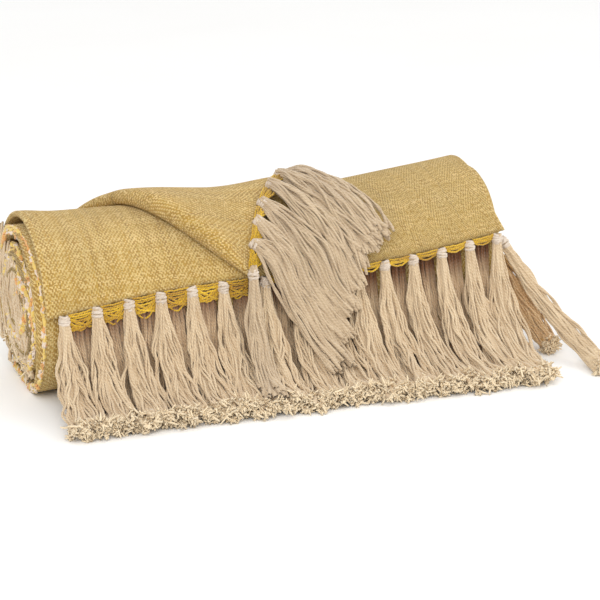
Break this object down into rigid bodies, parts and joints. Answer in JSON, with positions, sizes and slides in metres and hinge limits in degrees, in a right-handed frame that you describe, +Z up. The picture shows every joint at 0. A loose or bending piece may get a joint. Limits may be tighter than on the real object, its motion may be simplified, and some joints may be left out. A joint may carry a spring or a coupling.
{
  "type": "rolled throw blanket",
  "caption": "Fringed woven throw, folded in thirds and rolled up, with one corner turned back over the roll so that its knotted tassels drape across the front.",
  "frame": {"origin": "middle of the underside of the whole object's box, at the height of the surface it lies on", "axes": "+X along the roll to its right-hand end, -Y towards the free end and its fringe, +Z up"},
  "size_m": [0.502, 0.2748, 0.1662],
  "materials": {
    "mustard_cloth": "mustard and cream diamond twill, matt cotton",
    "cream_yarn": "undyed two-ply cotton yarn, matt",
    "mustard_yarn": "golden yellow cotton yarn, matt"
  },
  "bodies": {
    "roll": {"rolled_top_third": "mustard_cloth", "rolled_middle_third": "mustard_cloth", "rolled_base_third": "mustard_cloth", "turned_corner_back": "mustard_cloth", "inner_tassels": "cream_yarn", "core_strands": "cream_yarn"},
    "free_end": {"free_top_third": "mustard_cloth", "free_middle_third": "mustard_cloth", "free_base_third": "mustard_cloth", "edge_stitching_left": "mustard_yarn", "edge_stitching_right": "mustard_yarn", "under_tassels": "cream_yarn", "front_tassel_7": "cream_yarn", "front_tassel_8": "cream_yarn", "front_tassel_9": "cream_yarn", "front_tassel_10": "cream_yarn"},
    "turned_corner": {"turned_corner": "mustard_cloth", "corner_stitching": "mustard_yarn"},
    "front_tassel_1": {"front_tassel_1": "cream_yarn"},
    "front_tassel_2": {"front_tassel_2": "cream_yarn"},
    "front_tassel_3": {"front_tassel_3": "cream_yarn"},
    "front_tassel_4": {"front_tassel_4": "cream_yarn"},
    "front_tassel_5": {"front_tassel_5": "cream_yarn"},
    "front_tassel_6": {"front_tassel_6": "cream_yarn"},
    "front_tassel_11": {"front_tassel_11": "cream_yarn"},
    "front_tassel_12": {"front_tassel_12": "cream_yarn"},
    "front_tassel_13": {"front_tassel_13": "cream_yarn"},
    "front_tassel_14": {"front_tassel_14": "cream_yarn"},
    "front_tassel_15": {"front_tassel_15": "cream_yarn"},
    "corner_tassel_1": {"corner_tassel_1": "cream_yarn"},
    "corner_tassel_2": {"corner_tassel_2": "cream_yarn"},
    "corner_tassel_3": {"corner_tassel_3": "cream_yarn"},
    "corner_tassel_4": {"corner_tassel_4": "cream_yarn"},
    "corner_tassel_5": {"corner_tassel_5": "cream_yarn"},
    "corner_tassel_6": {"corner_tassel_6": "cream_yarn"},
    "corner_tassel_7": {"corner_tassel_7": "cream_yarn"},
    "end_tassel_long": {"end_tassel_long": "cream_yarn"},
    "end_tassel_short": {"end_tassel_short": "cream_yarn"}
  },
  "joints": [
    {"name": "free_end_lift", "type": "hinge", "parent": "roll", "child": "free_end", "pos_m": [-0.03, 0.09547, 0.15458], "axis": [-0.9998, 0.0023, -0.0191], "range_deg": [0, 50]},
    {"name": "corner_lift", "type": "hinge", "parent": "free_end", "child": "turned_corner", "pos_m": [-0.03, 0.09547, 0.15458], "axis": [-0.9998, 0.0023, -0.0191], "range_deg": [0, 30]},
    {"name": "front_tassel_1_swing", "type": "hinge", "parent": "free_end", "child": "front_tassel_1", "pos_m": [-0.233, -0.01756, 0.08373], "axis": [-1, 0, 0], "range_deg": [0, 40]},
    {"name": "front_tassel_2_swing", "type": "hinge", "parent": "free_end", "child": "front_tassel_2", "pos_m": [-0.2038, -0.01693, 0.08733], "axis": [-1, 0, 0], "range_deg": [0, 40]},
    {"name": "front_tassel_3_swing", "type": "hinge", "parent": "free_end", "child": "front_tassel_3", "pos_m": [-0.1746, -0.01616, 0.09041], "axis": [-1, 0, 0], "range_deg": [0, 40]},
    {"name": "front_tassel_4_swing", "type": "hinge", "parent": "free_end", "child": "front_tassel_4", "pos_m": [-0.1454, -0.01538, 0.09271], "axis": [-1, 0, 0], "range_deg": [0, 40]},
    {"name": "front_tassel_5_swing", "type": "hinge", "parent": "free_end", "child": "front_tassel_5", "pos_m": [-0.1162, -0.01471, 0.09411], "axis": [-1, 0, 0], "range_deg": [0, 40]},
    {"name": "front_tassel_6_swing", "type": "hinge", "parent": "free_end", "child": "front_tassel_6", "pos_m": [-0.087, -0.01425, 0.09465], "axis": [-1, 0, 0], "range_deg": [0, 40]},
    {"name": "front_tassel_11_swing", "type": "hinge", "parent": "free_end", "child": "front_tassel_11", "pos_m": [0.0683, -0.01655, 0.0955], "axis": [-1, 0, 0], "range_deg": [0, 40]},
    {"name": "front_tassel_12_swing", "type": "hinge", "parent": "free_end", "child": "front_tassel_12", "pos_m": [0.0975, -0.01629, 0.0974], "axis": [-1, 0, 0], "range_deg": [0, 40]},
    {"name": "front_tassel_13_swing", "type": "hinge", "parent": "free_end", "child": "front_tassel_13", "pos_m": [0.1267, -0.01588, 0.10021], "axis": [-1, 0, 0], "range_deg": [0, 40]},
    {"name": "front_tassel_14_swing", "type": "hinge", "parent": "free_end", "child": "front_tassel_14", "pos_m": [0.1559, -0.01535, 0.10372], "axis": [-1, 0, 0], "range_deg": [0, 40]},
    {"name": "front_tassel_15_swing", "type": "hinge", "parent": "free_end", "child": "front_tassel_15", "pos_m": [0.1851, -0.01474, 0.10762], "axis": [-1, 0, 0], "range_deg": [0, 40]},
    {"name": "corner_tassel_1_swing", "type": "hinge", "parent": "turned_corner", "child": "corner_tassel_1", "pos_m": [-0.05666, -0.02469, 0.10456], "axis": [-0.9996, -0.0094, -0.0251], "range_deg": [0, 35]},
    {"name": "corner_tassel_2_swing", "type": "hinge", "parent": "turned_corner", "child": "corner_tassel_2", "pos_m": [-0.05083, -0.01039, 0.12395], "axis": [-0.8684, -0.2957, -0.398], "range_deg": [0, 35]},
    {"name": "corner_tassel_3_swing", "type": "hinge", "parent": "turned_corner", "child": "corner_tassel_3", "pos_m": [-0.04151, 0.00632, 0.14005], "axis": [-0.8131, -0.4633, -0.3524], "range_deg": [0, 35]},
    {"name": "corner_tassel_4_swing", "type": "hinge", "parent": "turned_corner", "child": "corner_tassel_4", "pos_m": [-0.03001, 0.02429, 0.15083], "axis": [-0.7935, -0.5616, -0.2343], "range_deg": [0, 35]},
    {"name": "corner_tassel_5_swing", "type": "hinge", "parent": "turned_corner", "child": "corner_tassel_5", "pos_m": [-0.01484, 0.04515, 0.15844], "axis": [-0.8009, -0.5938, -0.0772], "range_deg": [0, 35]},
    {"name": "corner_tassel_6_swing", "type": "hinge", "parent": "turned_corner", "child": "corner_tassel_6", "pos_m": [0.00162, 0.06529, 0.16052], "axis": [-0.8122, -0.5799, 0.0632], "range_deg": [0, 35]},
    {"name": "corner_tassel_7_swing", "type": "hinge", "parent": "turned_corner", "child": "corner_tassel_7", "pos_m": [0.01961, 0.08399, 0.15724], "axis": [-0.842, -0.5103, 0.175], "range_deg": [0, 35]},
    {"name": "end_tassel_long_swing", "type": "hinge", "parent": "free_end", "child": "end_tassel_long", "pos_m": [0.198, -0.002, 0.088], "axis": [-0.9487, -0.3162, 0], "range_deg": [0, 35]},
    {"name": "end_tassel_short_swing", "type": "hinge", "parent": "free_end", "child": "end_tassel_short", "pos_m": [0.195, 0.012, 0.076], "axis": [0, -0.7418, 0.6706], "range_deg": [0, 30]}
  ]
}
